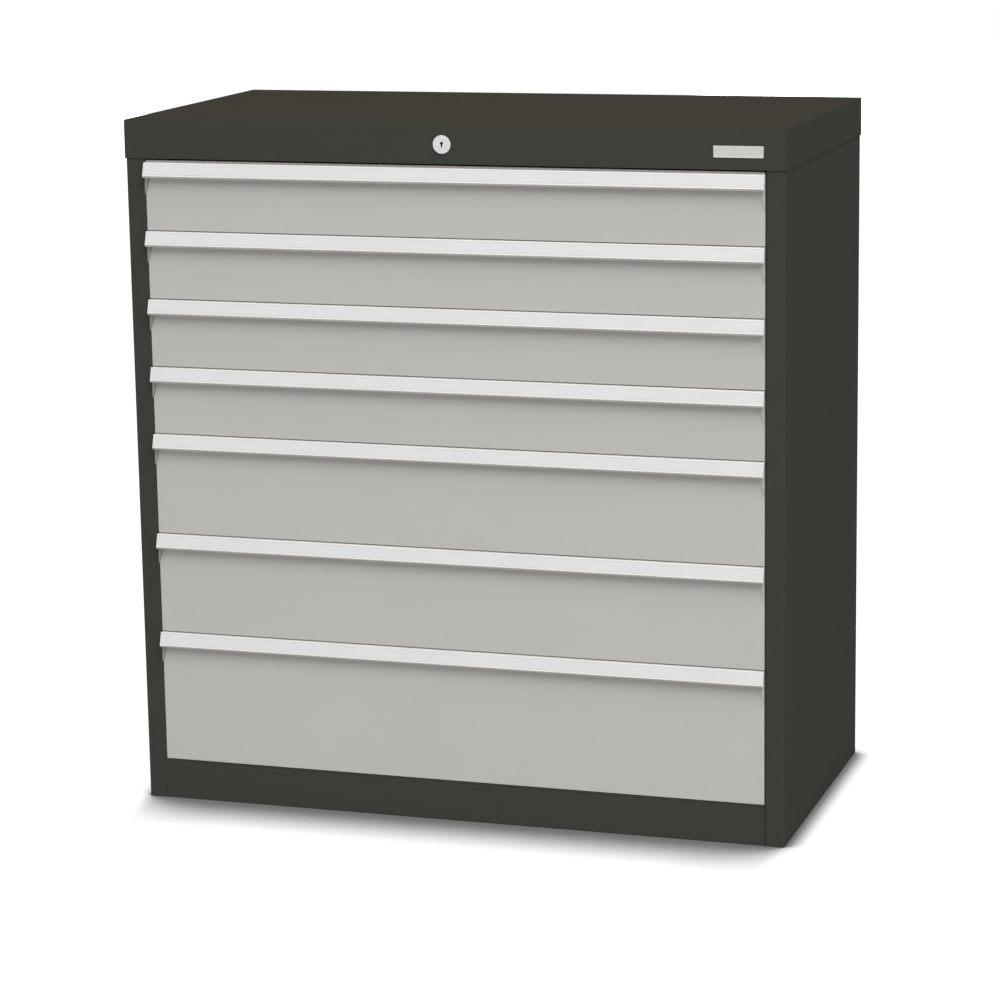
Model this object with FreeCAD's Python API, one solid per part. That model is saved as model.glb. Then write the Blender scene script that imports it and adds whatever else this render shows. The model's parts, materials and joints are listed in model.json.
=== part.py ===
import FreeCAD, Part
import math
import os

# A steel drawer cabinet: a folded and welded housing, seven full-extension drawers on
# three-part slides with nylon glide shoes, aluminium grip profiles and a central lock.
#
# Frame: millimetres, +X to the right, +Y to the back, +Z up.  The origin is at the middle of
# the whole envelope (grips included), on the floor.  The drawers open towards -Y.

# ---------------------------------------------------------------- overall envelope
CABINET_WIDTH = 980.0
CABINET_DEPTH = 500.0
COVER_HEIGHT = 56.0            # from the edge of the cover's skirt to its top

# ---------------------------------------------------------------- drawer stack
PLINTH_HEIGHT = 58.0
DRAWER_PITCHES = [100.0, 100.0, 100.0, 100.0, 150.0, 150.0, 200.0]   # from the top down
HEAD_GAP = 5.0                 # free height between the top drawer and the cover skirt

# ---------------------------------------------------------------- sheet metal
BODY_SHEET = 1.2
COVER_SHEET = 1.0
PANEL_SHEET = 1.2
TRAY_SHEET = 1.0
RAIL_SHEET = 1.5
BEND_RADIUS = 1.0              # inner radius of the housing's folds
COVER_EDGE_RADIUS = 1.5        # outer radius round the cover's top
COVER_FIT = 0.2                # air between the cover's skirt and the body

# ---------------------------------------------------------------- side panels, back and base
STILE_WIDTH = 28.3
STILE_RETURN = 26.0
REAR_FLANGE = 20.0
BASE_FLANGE = 25.0
PLINTH_FLANGE = 26.0
FLOOR_REAR_FLANGE = 20.0
BACK_SHEET = 1.0
HEAD_RAIL_FLANGE = 20.0
HEAD_RAIL_RISE = 2.0           # of its underside above the edge of the cover's skirt

# ---------------------------------------------------------------- drawer fronts
PANEL_SIDE_GAP = 1.0           # to each stile
PANEL_GAP = 1.0                # between a panel and the grip below it
PANEL_TOP_DROP = 0.5           # of a panel's top below its pitch line
PLINTH_GAP = 3.0               # under the lowest panel
PANEL_DEPTH = 25.0
PANEL_CORNER_RADIUS = 1.0
PANEL_SIDE_LIP = 32.0
PANEL_TOP_LIP = 20.0
PANEL_BOTTOM_LIP = 12.0

# ---------------------------------------------------------------- grip profile
GRIP_REACH = 11.0              # of the lower edge in front of the panel
GRIP_TOP_REACH = 5.0
GRIP_FACE_HEIGHT = 19.0
GRIP_WALL = 1.6
GRIP_LIP_HEIGHT = 3.0
GRIP_LIP_SETBACK = 2.8         # of the lip's underside behind the face's lower edge
GRIP_LIP_WIDTH = 1.8
GRIP_BACK_LEG = 14.0
GRIP_BACK_WALL = 1.0
LABEL_RECESS = 0.6
LABEL_MARGIN = 1.6             # of the face above and below the label recess
CAP_THICKNESS = 1.2
CAP_OVERHANG = 0.2             # past the panel's end
CAP_GUSSET_DROP = 24.0         # of the gusset below the lip
CAP_GUSSET_WIDTH = 7.0
CAP_GUSSET_THICKNESS = 3.0

# ---------------------------------------------------------------- trays
TRAY_BACK_GAP = 30.4           # between a tray and the back panel
TRAY_FLOOR_RISE = 6.0          # of the tray's underside above the pitch line
TRAY_TOP_DROP = 16.0           # of the tray's rim below the next pitch line
TRAY_HEM = 8.0
SLOT_WIDTH = 4.0
SLOT_RAIL_GAP = 5.2            # of a slot's foot above the drawer rail
SLOT_HEAD = 8.0                # below the tray's rim
SIDE_SLOT_PITCH = 60.0
CROSS_SLOT_PITCH = 130.0
SLOT_END_MARGIN = 40.0         # free of slots at each end of a wall

# ---------------------------------------------------------------- slides
SLIDE_GAP = 2.0                # behind the drawer panels and the stiles' returns
SLIDE_BACK_GAP = 27.4          # between a slide and the back panel
SLIDE_RISE = 9.0               # of the running floor of the inner stage above the pitch line
RUNNING_GAP = 0.3
INNER_SHOE_HEIGHT = 18.0
OUTER_SHOE_HEIGHT = 20.0
INNER_CHANNEL = 8.5            # inner width of the middle rail's channel
OUTER_CHANNEL = 9.8            # and of the cabinet rail's
SHOE_WIDTH = 7.5
SHOE_LENGTH = 36.0
SHOE_NOSE = 2.5                # chamfer of a shoe's running face at each end
SHOE_END_GAP = 2.0             # of a shoe from its rail's end
SIDE_PLAY = 1.0                # between members, across the slide
RAIL_STILE_PLAY = 0.3          # of the outer rail's web outside the stile's edge

# ---------------------------------------------------------------- uprights
UPRIGHT_WIDTH = 40.0
FRONT_UPRIGHT_GAP = 6.2        # behind the lock bar's guides
REAR_UPRIGHT_GAP = 40.4        # in front of the back panel
UPRIGHT_SHEET = 1.5
UPRIGHT_SLOT = (5.0, 20.0)     # width, height
UPRIGHT_SLOT_PITCH = 100.0     # of the spare slots above each drawer's own
HOOK_THICKNESS = 3.0
HOOK_HEIGHT = 14.0
HOOK_DROP = 3.0
HOOK_PLAY = 0.3                # behind the upright's sheet

# ---------------------------------------------------------------- lock
LOCK_X = -4.5
LOCK_DROP = 28.0               # of its axis below the top of the cabinet
LOCK_FLANGE_DIAMETER = 26.0
LOCK_FLANGE_THICKNESS = 1.8
LOCK_BARREL_DIAMETER = 19.0
LOCK_HOLE_PLAY = 0.2
PLUG_DIAMETER = 14.0
PLUG_PLAY = 0.08
PLUG_PROUD = 0.6
PLUG_SHANK = 7.0               # square shank
KEYWAY_WIDTH = 2.2
KEYWAY_HEIGHT = 7.8
KEYWAY_EYE = 4.4
KEYWAY_DEPTH = 12.0
NUT_THICKNESS = 4.0
NUT_ACROSS = 25.0
CAM_RADIUS = 14.0
CAM_THICKNESS = 3.0
CAM_HUB_RADIUS = 9.0
CAM_TIP_RADIUS = 5.0
LOCK_PIN_DIAMETER = 5.0
PIN_SLOT_PLAY = 0.7            # each side of the pin
LOCK_TURN = 90.0               # degrees from open to locked
CAM_GAP = 0.5
SLIDE_BAR_HEIGHT = 24.0
SLIDE_BAR_THICKNESS = 3.0
SLIDE_BAR_GAP = 4.5            # of its front face behind the stiles' returns
SLIDE_BAR_CAM_GAP = 5.0        # and behind the cam
SLIDE_BAR_CAM_END = 12.0       # of the bar past the cam's pin
SLIDE_BAR_LIFT_END = 8.0       # of the bar past the lock bar's pin
LOCK_BAR_THICKNESS = 3.0
LOCK_ARM_REACH = 8.0           # of the lock bar's pin inside the bar's inner edge
LOCK_ARM_MARGIN = 7.0          # of the arm round its pin
LIFT_RATIO = 0.6               # the lock bar's lift for each millimetre of the slide bar
LOCK_BAR_WALL_GAP = 3.0
LOCK_BAR_RAIL_GAP = 3.8        # beside the cabinet rails
LOCK_BAR_FOOT = 22.0           # of its foot above the plinth
CATCH_REACH = 18.0
CATCH_HEIGHT = 10.0
CATCH_RAIL_GAP = 3.1           # of an open catch above the cabinet rail
LUG_HEIGHT = 12.0
LUG_CATCH_GAP = 6.0            # of a lug above the open catch
LUG_THICKNESS = 3.0
LUG_GAP = 1.0                  # behind the lock bar
LUG_FOOT = 18.0
GUIDE_HEIGHT = 16.0
GUIDE_WALL = 1.5
GUIDE_DRAWERS = [1, 4, 6]      # drawers, counted from the top, at whose pitch line a guide sits
STRAP_WIDTH = 20.0
STRAP_SHEET = 1.2
STRAP_PLACES = [-180.0, 60.0, 300.0]   # along X
STRAP_LIP = 10.0

# ---------------------------------------------------------------- worked out from the above
COVER_LAP = COVER_SHEET + COVER_FIT
GRIP_PAST_COVER = GRIP_REACH - COVER_LAP
COVER_FRONT = -(CABINET_DEPTH + GRIP_PAST_COVER) / 2 + GRIP_PAST_COVER
COVER_BACK = COVER_FRONT + CABINET_DEPTH
FACE = COVER_FRONT + COVER_LAP                 # plane of the stiles and drawer panels
BODY_BACK = COVER_BACK - COVER_LAP
BODY_HALF = CABINET_WIDTH / 2 - COVER_LAP
WALL_INSIDE = BODY_HALF - BODY_SHEET
STILE_EDGE = BODY_HALF - STILE_WIDTH
STACK_TOP = PLINTH_HEIGHT + sum(DRAWER_PITCHES)
SKIRT_EDGE = STACK_TOP + HEAD_GAP
CABINET_HEIGHT = SKIRT_EDGE + COVER_HEIGHT
BODY_TOP = CABINET_HEIGHT - COVER_SHEET
BACK_FRONT = BODY_BACK - BODY_SHEET - BACK_SHEET
PANEL_HALF = STILE_EDGE - PANEL_SIDE_GAP
TRAY_FRONT = FACE + PANEL_DEPTH
TRAY_BACK = BACK_FRONT - TRAY_BACK_GAP
SLIDE_FRONT = FACE + max(PANEL_DEPTH, STILE_RETURN) + SLIDE_GAP
SLIDE_BACK = BACK_FRONT - SLIDE_BACK_GAP
LOCK_Z = CABINET_HEIGHT - LOCK_DROP

# Across the right-hand slide, from the upright inwards to the tray.
OUTER_WEB = STILE_EDGE + RAIL_STILE_PLAY
OUTER_WEB_INSIDE = OUTER_WEB - RAIL_SHEET
OUTER_TIP = OUTER_WEB_INSIDE - OUTER_CHANNEL
MIDDLE_WEB = OUTER_TIP - SIDE_PLAY - RAIL_SHEET
MIDDLE_TIP = MIDDLE_WEB - INNER_CHANNEL
DRAWER_WEB = MIDDLE_TIP - SIDE_PLAY
TRAY_HALF_WIDTH = DRAWER_WEB - RAIL_SHEET
UPRIGHT_FACE = OUTER_WEB

# Up the slide, from the running floor of the inner stage.
INNER_LEDGE = INNER_SHOE_HEIGHT + RUNNING_GAP
INNER_CEILING = INNER_LEDGE + RAIL_SHEET + RUNNING_GAP
OUTER_LEDGE = INNER_CEILING + RAIL_SHEET
OUTER_CEILING = OUTER_LEDGE + RAIL_SHEET + RUNNING_GAP
OUTER_FLOOR = OUTER_LEDGE - OUTER_SHOE_HEIGHT - RUNNING_GAP

# Above a drawer's pitch line.
SLOT_FOOT = SLIDE_RISE + INNER_LEDGE + RAIL_SHEET + SLOT_RAIL_GAP
CATCH_RISE = SLIDE_RISE + OUTER_CEILING + RAIL_SHEET + CATCH_RAIL_GAP
LUG_RISE = CATCH_RISE + CATCH_HEIGHT + LUG_CATCH_GAP

# Lock motion.
HALF_TURN = math.radians(LOCK_TURN / 2)
SLIDE_BAR_TRAVEL = 2 * CAM_RADIUS * math.sin(HALF_TURN)
LOCK_BAR_LIFT = LIFT_RATIO * SLIDE_BAR_TRAVEL

# Behind the cabinet's face, from the lock back to the rear uprights.
SLIDE_BAR_START = STILE_RETURN + SLIDE_BAR_GAP
LOCK_BARREL_END = SLIDE_BAR_START - SLIDE_BAR_CAM_GAP - CAM_THICKNESS - CAM_GAP
LOCK_BAR_START = SLIDE_BAR_START + SLIDE_BAR_THICKNESS + CAM_GAP
GUIDE_END = LOCK_BAR_START + LOCK_BAR_THICKNESS + RUNNING_GAP + GUIDE_WALL
UPRIGHT_FRONTS = [
    FACE + GUIDE_END + FRONT_UPRIGHT_GAP,
    BACK_FRONT - REAR_UPRIGHT_GAP - UPRIGHT_WIDTH,
]


def vec(x, y, z):
    return FreeCAD.Vector(x, y, z)


def box(x0, x1, y0, y1, z0, z1):
    return Part.makeBox(x1 - x0, y1 - y0, z1 - z0, vec(x0, y0, z0))


def plan(a, b):
    """A point of an outline drawn in plan, to be extruded upwards."""
    return vec(a, b, 0)


def section(a, b):
    """A point of an outline in a section through Y and Z, to be extruded along X."""
    return vec(0, a, b)


def elevation(a, b):
    """A point of an outline seen from the front, to be extruded along Y."""
    return vec(a, 0, b)


def prism(points, place, start, run):
    """A closed outline of straight lines, moved by start and extruded by run."""
    corners = [place(a, b) + start for a, b in points]
    return Part.Face(Part.makePolygon(corners + corners[:1])).extrude(run)


def mirrored(shape):
    return shape.mirror(vec(0, 0, 0), vec(1, 0, 0))


def union(shapes):
    return shapes[0].multiFuse(shapes[1:]).removeSplitter() if len(shapes) > 1 else shapes[0]


def offset_path(points, distance):
    """The path moved to its left by distance, with mitred corners."""
    headings = []
    for (a0, b0), (a1, b1) in zip(points, points[1:]):
        length = math.hypot(a1 - a0, b1 - b0)
        headings.append(((a1 - a0) / length, (b1 - b0) / length))
    moved = []
    for index, (a, b) in enumerate(points):
        before = headings[max(index - 1, 0)]
        after = headings[min(index, len(headings) - 1)]
        normal = (-(before[1] + after[1]), before[0] + after[0])
        scale = distance / (1 + before[0] * after[0] + before[1] * after[1])
        moved.append((a + normal[0] * scale, b + normal[1] * scale))
    return moved


def path_edges(points, radii, place):
    """Lines along the path, with an arc of each corner's radius."""
    edges = []
    here = place(*points[0])
    for index in range(1, len(points) - 1):
        corner = place(*points[index])
        back = (place(*points[index - 1]) - corner).normalize()
        ahead = (place(*points[index + 1]) - corner).normalize()
        half_angle = back.getAngle(ahead) / 2
        reach = radii[index] / math.tan(half_angle)
        bisector = (back + ahead).normalize()
        centre = corner + bisector * (radii[index] / math.sin(half_angle))
        first = corner + back * reach
        last = corner + ahead * reach
        edges.append(Part.LineSegment(here, first).toShape())
        edges.append(Part.Arc(first, centre - bisector * radii[index], last).toShape())
        here = last
    edges.append(Part.LineSegment(here, place(*points[-1])).toShape())
    return edges


def sharp_folded(points, sheet, place, start, run):
    """A small folded strip, drawn with sharp folds; its thickness lies to the path's left."""
    return prism(points + offset_path(points, sheet)[::-1], place, start, run)


def folded(points, sheet, place, start, run):
    """A folded sheet: its skin follows points, and its thickness lies to their left."""
    bend = BEND_RADIUS
    inner = offset_path(points, sheet)
    skin_radii = [0.0]
    inner_radii = [0.0]
    for (a0, b0), (a1, b1), (a2, b2) in zip(points, points[1:], points[2:]):
        turns_left = (a1 - a0) * (b2 - b1) - (b1 - b0) * (a2 - a1) > 0
        skin_radii.append(bend + sheet if turns_left else bend)
        inner_radii.append(bend if turns_left else bend + sheet)
    skin = path_edges(points, skin_radii, place)
    lining = path_edges(inner, inner_radii, place)
    ends = [
        Part.LineSegment(place(*points[0]), place(*inner[0])).toShape(),
        Part.LineSegment(place(*points[-1]), place(*inner[-1])).toShape(),
    ]
    outline = Part.Wire(Part.__sortEdges__(skin + lining + ends))
    face = Part.Face(outline)
    face.translate(start)
    return face.extrude(run)


def cylinder_y(x, z, radius, y0, y1):
    return Part.makeCylinder(radius, y1 - y0, vec(x, y0, z), vec(0, 1, 0))


def export(name, shapes):
    shape = shapes[0] if len(shapes) == 1 else Part.makeCompound(shapes)
    shape.exportStep("parts/" + name + ".step")


def pitch_lines():
    """For each drawer from the top, the heights of the lines under and over it."""
    lines = []
    top = STACK_TOP
    for pitch in DRAWER_PITCHES:
        lines.append((top - pitch, top))
        top -= pitch
    return lines


# ================================================================ housing

def side_panel():
    """Right-hand wall with its front stile, rear flange and base flange."""
    skin = [
        (STILE_EDGE, FACE + STILE_RETURN),
        (STILE_EDGE, FACE),
        (BODY_HALF, FACE),
        (BODY_HALF, BODY_BACK),
        (BODY_HALF - REAR_FLANGE, BODY_BACK),
    ]
    wall = folded(skin, BODY_SHEET, plan, vec(0, 0, 0), vec(0, 0, BODY_TOP))
    foot = box(
        WALL_INSIDE - BASE_FLANGE, WALL_INSIDE,
        FACE + BODY_SHEET, BACK_FRONT,
        0, BODY_SHEET,
    )
    return union([wall, foot])


def back_panel():
    """Flat sheet in front of the rear flanges, clear of the insides of their bends."""
    half = WALL_INSIDE - BEND_RADIUS
    return box(-half, half, BACK_FRONT, BACK_FRONT + BACK_SHEET, 0, BODY_TOP)


def base():
    """Plinth front and cabinet floor in one folded sheet, notched round the stiles, with a tab
    of the floor inside each stile."""
    skin = [
        (BACK_FRONT, PLINTH_HEIGHT - FLOOR_REAR_FLANGE),
        (BACK_FRONT, PLINTH_HEIGHT),
        (FACE, PLINTH_HEIGHT),
        (FACE, 0),
        (FACE + PLINTH_FLANGE, 0),
    ]
    width = 2 * WALL_INSIDE
    sheet = folded(skin, BODY_SHEET, section, vec(-WALL_INSIDE, 0, 0), vec(width, 0, 0))
    notch = box(
        STILE_EDGE, WALL_INSIDE,
        FACE, FACE + STILE_RETURN,
        0, PLINTH_HEIGHT,
    )
    tab = box(
        STILE_EDGE + BODY_SHEET, WALL_INSIDE,
        FACE + BODY_SHEET + BEND_RADIUS, FACE + STILE_RETURN,
        PLINTH_HEIGHT - BODY_SHEET, PLINTH_HEIGHT,
    )
    return union([sheet.cut(notch).cut(mirrored(notch)), tab, mirrored(tab)])


def top_cover():
    """Hood whose skirt laps over the top of the body on all four sides."""
    half = CABINET_WIDTH / 2
    hood = box(-half, half, COVER_FRONT, COVER_BACK, SKIRT_EDGE, CABINET_HEIGHT)
    rounded = []
    for edge in hood.Edges:
        low = min(vertex.Z for vertex in edge.Vertexes)
        high = max(vertex.Z for vertex in edge.Vertexes)
        if low == high == CABINET_HEIGHT:
            rounded.append(edge)
    hood = hood.makeFillet(COVER_EDGE_RADIUS, rounded)
    hollow = box(
        -half + COVER_SHEET, half - COVER_SHEET,
        COVER_FRONT + COVER_SHEET, COVER_BACK - COVER_SHEET,
        SKIRT_EDGE, BODY_TOP,
    )
    return hood.cut(hollow).cut(lock_hole())


def lock_hole():
    radius = LOCK_BARREL_DIAMETER / 2 + LOCK_HOLE_PLAY
    return cylinder_y(LOCK_X, LOCK_Z, radius, COVER_FRONT - 1, FACE + BODY_SHEET + 1)


def head_rail():
    """Cross-member between the stiles, behind the cover's skirt: it carries the lock."""
    low = SKIRT_EDGE + HEAD_RAIL_RISE
    skin = [
        (FACE + HEAD_RAIL_FLANGE, BODY_TOP),
        (FACE, BODY_TOP),
        (FACE, low),
        (FACE + HEAD_RAIL_FLANGE, low),
    ]
    start = vec(-STILE_EDGE, 0, 0)
    rail = sharp_folded(skin, BODY_SHEET, section, start, vec(2 * STILE_EDGE, 0, 0))
    return rail.cut(lock_hole())


def hook_height(low):
    """Middle of the hooks on the cabinet rail of the drawer whose pitch line is at low."""
    return low + SLIDE_RISE + (OUTER_FLOOR + OUTER_CEILING) / 2


def upright_slot_heights():
    """A slot for each drawer's hooks, and spare ones above it as far as the next drawer's."""
    heights = []
    for low, high in pitch_lines():
        height = low
        while height <= high - UPRIGHT_SLOT_PITCH / 2:
            heights.append(hook_height(height))
            height += UPRIGHT_SLOT_PITCH
    return heights


def upright(front):
    """Right-hand slotted channel, welded to the wall with its open side to it."""
    back = front + UPRIGHT_WIDTH
    skin = [
        (WALL_INSIDE, back),
        (UPRIGHT_FACE, back),
        (UPRIGHT_FACE, front),
        (WALL_INSIDE, front),
    ]
    height = BODY_TOP - PLINTH_HEIGHT
    start = vec(0, 0, PLINTH_HEIGHT)
    channel = sharp_folded(skin, UPRIGHT_SHEET, plan, start, vec(0, 0, height))
    width, tall = UPRIGHT_SLOT
    middle = front + UPRIGHT_WIDTH / 2
    slots = []
    for z in upright_slot_heights():
        slots.append(box(
            UPRIGHT_FACE - 1, UPRIGHT_FACE + UPRIGHT_SHEET + 1,
            middle - width / 2, middle + width / 2,
            z - tall / 2, z + tall / 2,
        ))
    return channel.cut(Part.makeCompound(slots))


# ================================================================ slides

def shoe(start, low, high, web, outwards, runs_above):
    """Nylon glide shoe on the face of a rail's web.  Its running face, above or below, has a
    lead-in at both ends."""
    end = start + SHOE_LENGTH
    run, seat = (high, low) if runs_above else (low, high)
    lead = run + (-SHOE_NOSE if runs_above else SHOE_NOSE)
    points = [
        (start, seat),
        (start, lead),
        (start + SHOE_NOSE, run),
        (end - SHOE_NOSE, run),
        (end, lead),
        (end, seat),
    ]
    return prism(points, section, vec(web, 0, 0), vec(outwards * SHOE_WIDTH, 0, 0))


def hook(y, z):
    """Hook on the outer rail's web that hangs in a slot of an upright."""
    behind = UPRIGHT_FACE + UPRIGHT_SHEET
    points = [
        (OUTER_WEB, z - HOOK_HEIGHT / 2),
        (behind + HOOK_PLAY, z - HOOK_HEIGHT / 2),
        (behind + HOOK_PLAY, z - HOOK_HEIGHT / 2 - HOOK_DROP),
        (behind + HOOK_DROP, z - HOOK_HEIGHT / 2 - HOOK_DROP),
        (behind + HOOK_DROP, z + HOOK_HEIGHT / 2),
        (OUTER_WEB, z + HOOK_HEIGHT / 2),
    ]
    start = vec(0, y - HOOK_THICKNESS / 2, 0)
    return prism(points, elevation, start, vec(0, HOOK_THICKNESS, 0))


def outer_rail(pitch_line):
    """Right-hand cabinet rail: a channel hooked to the uprights, with a shoe in its mouth."""
    z = pitch_line + SLIDE_RISE
    low = z + OUTER_FLOOR
    high = z + OUTER_CEILING
    points = [
        (OUTER_TIP, low - RAIL_SHEET),
        (OUTER_WEB, low - RAIL_SHEET),
        (OUTER_WEB, high + RAIL_SHEET),
        (OUTER_TIP, high + RAIL_SHEET),
        (OUTER_TIP, high),
        (OUTER_WEB_INSIDE, high),
        (OUTER_WEB_INSIDE, low),
        (OUTER_TIP, low),
    ]
    rail = prism(points, elevation, vec(0, SLIDE_FRONT, 0), vec(0, SLIDE_BACK - SLIDE_FRONT, 0))
    hooks = []
    for front in UPRIGHT_FRONTS:
        hooks.append(hook(front + UPRIGHT_WIDTH / 2, hook_height(pitch_line)))
    top = low + OUTER_SHOE_HEIGHT
    glide = shoe(SLIDE_FRONT + SHOE_END_GAP, low, top, OUTER_WEB_INSIDE, -1, True)
    return [union([rail] + hooks), glide]


def middle_rail(z):
    """Right-hand middle rail: a channel for the drawer's shoe, whose folded-back top flange
    runs on the cabinet rail's shoe."""
    back_of_web = MIDDLE_WEB + RAIL_SHEET
    flange_tip = OUTER_WEB_INSIDE - SIDE_PLAY
    points = [
        (MIDDLE_TIP, z - RAIL_SHEET),
        (back_of_web, z - RAIL_SHEET),
        (back_of_web, z + OUTER_LEDGE),
        (flange_tip, z + OUTER_LEDGE),
        (flange_tip, z + OUTER_LEDGE + RAIL_SHEET),
        (MIDDLE_TIP, z + OUTER_LEDGE + RAIL_SHEET),
        (MIDDLE_TIP, z + INNER_CEILING),
        (MIDDLE_WEB, z + INNER_CEILING),
        (MIDDLE_WEB, z),
        (MIDDLE_TIP, z),
    ]
    rail = prism(points, elevation, vec(0, SLIDE_FRONT, 0), vec(0, SLIDE_BACK - SLIDE_FRONT, 0))
    front_start = SLIDE_FRONT + SHOE_END_GAP
    back_start = SLIDE_BACK - SHOE_END_GAP - SHOE_LENGTH
    front = shoe(front_start, z, z + INNER_SHOE_HEIGHT, MIDDLE_WEB, -1, True)
    ledge = z + OUTER_LEDGE
    back = shoe(back_start, ledge - OUTER_SHOE_HEIGHT, ledge, back_of_web, 1, False)
    return [rail, front, back]


def drawer_rail(z):
    """Right-hand angle on the tray's side, resting on the middle rail's front shoe."""
    flange_tip = MIDDLE_WEB - SIDE_PLAY
    points = [
        (TRAY_HALF_WIDTH, z + RUNNING_GAP),
        (DRAWER_WEB, z + RUNNING_GAP),
        (DRAWER_WEB, z + INNER_LEDGE),
        (flange_tip, z + INNER_LEDGE),
        (flange_tip, z + INNER_LEDGE + RAIL_SHEET),
        (TRAY_HALF_WIDTH, z + INNER_LEDGE + RAIL_SHEET),
    ]
    rail = prism(points, elevation, vec(0, SLIDE_FRONT, 0), vec(0, TRAY_BACK - SLIDE_FRONT, 0))
    start = TRAY_BACK - SHOE_END_GAP - SHOE_LENGTH
    ledge = z + INNER_LEDGE
    glide = shoe(start, ledge - INNER_SHOE_HEIGHT, ledge, DRAWER_WEB, 1, False)
    return [rail, glide]


def both_sides(solids):
    return solids + [mirrored(solid) for solid in solids]


# ================================================================ drawers

def evenly_placed(low, high, pitch):
    """Places on the pitch, centred between low and high and clear of both ends."""
    count = int((high - low - 2 * SLOT_END_MARGIN) / pitch) + 1
    first = (low + high - (count - 1) * pitch) / 2
    return [first + index * pitch for index in range(count)]


def tray(low, high):
    """Drawer tray: folded pan with hemmed rim and slotted walls for dividers."""
    half = TRAY_HALF_WIDTH
    front = TRAY_FRONT
    back = TRAY_BACK
    bottom = low + TRAY_FLOOR_RISE
    rim = high - TRAY_TOP_DROP
    sheet = TRAY_SHEET
    pan = box(-half, half, front, back, bottom, rim)
    inside = box(
        -half + sheet, half - sheet,
        front + sheet, back - sheet,
        bottom + sheet, rim - sheet,
    )
    mouth = box(
        -half + TRAY_HEM, half - TRAY_HEM,
        front + TRAY_HEM, back - TRAY_HEM,
        rim - 2 * sheet, rim + 1,
    )
    foot = low + SLOT_FOOT
    head = rim - SLOT_HEAD
    wide = SLOT_WIDTH / 2
    slots = []
    for y in evenly_placed(front, back, SIDE_SLOT_PITCH):
        for x in (-half, half - sheet):
            slots.append(box(x - 1, x + sheet + 1, y - wide, y + wide, foot, head))
    for x in evenly_placed(-half, half, CROSS_SLOT_PITCH):
        for y in (front, back - sheet):
            slots.append(box(x - wide, x + wide, y - 1, y + sheet + 1, foot, head))
    return pan.cut(inside).cut(mouth).cut(Part.makeCompound(slots))


def drawer_panel(low, high, is_lowest):
    """Folded front: a shallow pan, open at the back inside its return lips."""
    bottom = low + (PLINTH_GAP if is_lowest else PANEL_GAP - PANEL_TOP_DROP)
    top = high - PANEL_TOP_DROP
    back = FACE + PANEL_DEPTH
    sheet = PANEL_SHEET
    pan = box(-PANEL_HALF, PANEL_HALF, FACE, back, bottom, top)
    rounded = []
    for edge in pan.Edges:
        if all(abs(vertex.Y - FACE) < 1e-6 for vertex in edge.Vertexes):
            rounded.append(edge)
    pan = pan.makeFillet(PANEL_CORNER_RADIUS, rounded)
    inside = box(
        -PANEL_HALF + sheet, PANEL_HALF - sheet,
        FACE + sheet, back - sheet,
        bottom + sheet, top - sheet,
    )
    window = box(
        -PANEL_HALF + PANEL_SIDE_LIP, PANEL_HALF - PANEL_SIDE_LIP,
        back - 2 * sheet, back + 1,
        bottom + PANEL_BOTTOM_LIP, top - PANEL_TOP_LIP,
    )
    return pan.cut(inside).cut(window)


def grip_skin():
    """Outer line of the grip, from its foot on the panel round to the lip's inner edge.
    Each point is (distance in front of the panel, depth below the grip's top)."""
    lower = GRIP_FACE_HEIGHT + GRIP_LIP_HEIGHT
    return [
        (0, 0),
        (GRIP_TOP_REACH, 0),
        (GRIP_REACH, GRIP_FACE_HEIGHT),
        (GRIP_REACH - GRIP_LIP_SETBACK, lower),
        (GRIP_REACH - GRIP_LIP_SETBACK - GRIP_LIP_WIDTH, lower),
    ]


def face_point(depth, inset):
    """Point of the grip's sloping face at a depth below its top, set back into the wall."""
    slope = (GRIP_REACH - GRIP_TOP_REACH) / GRIP_FACE_HEIGHT
    along = math.hypot(1, slope)
    return (GRIP_TOP_REACH + slope * depth - inset / along, depth + inset * slope / along)


def grip(top):
    """Extruded grip: back leg, bridge, sloping face with a label recess, and a lip turned in."""
    skin = grip_skin()
    upper = face_point(LABEL_MARGIN, 0)
    upper_in = face_point(LABEL_MARGIN, LABEL_RECESS)
    lower = face_point(GRIP_FACE_HEIGHT - LABEL_MARGIN, 0)
    lower_in = face_point(GRIP_FACE_HEIGHT - LABEL_MARGIN, LABEL_RECESS)
    slope = (GRIP_REACH - GRIP_TOP_REACH) / GRIP_FACE_HEIGHT
    wall_back = GRIP_WALL * math.hypot(1, slope)
    inner_top = (GRIP_TOP_REACH - wall_back + slope * GRIP_WALL, GRIP_WALL)
    inner_low = (GRIP_REACH - wall_back, GRIP_FACE_HEIGHT)
    outline = [skin[0], skin[1], upper, upper_in, lower_in, lower, skin[2], skin[3], skin[4]]
    outline += [inner_low, inner_top, (GRIP_BACK_WALL, GRIP_WALL)]
    outline += [(GRIP_BACK_WALL, GRIP_BACK_LEG), (0, GRIP_BACK_LEG)]
    points = [(FACE - reach, top - depth) for reach, depth in outline]
    half = PANEL_HALF + CAP_OVERHANG - CAP_THICKNESS
    return prism(points, section, vec(-half, 0, 0), vec(2 * half, 0, 0))


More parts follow.
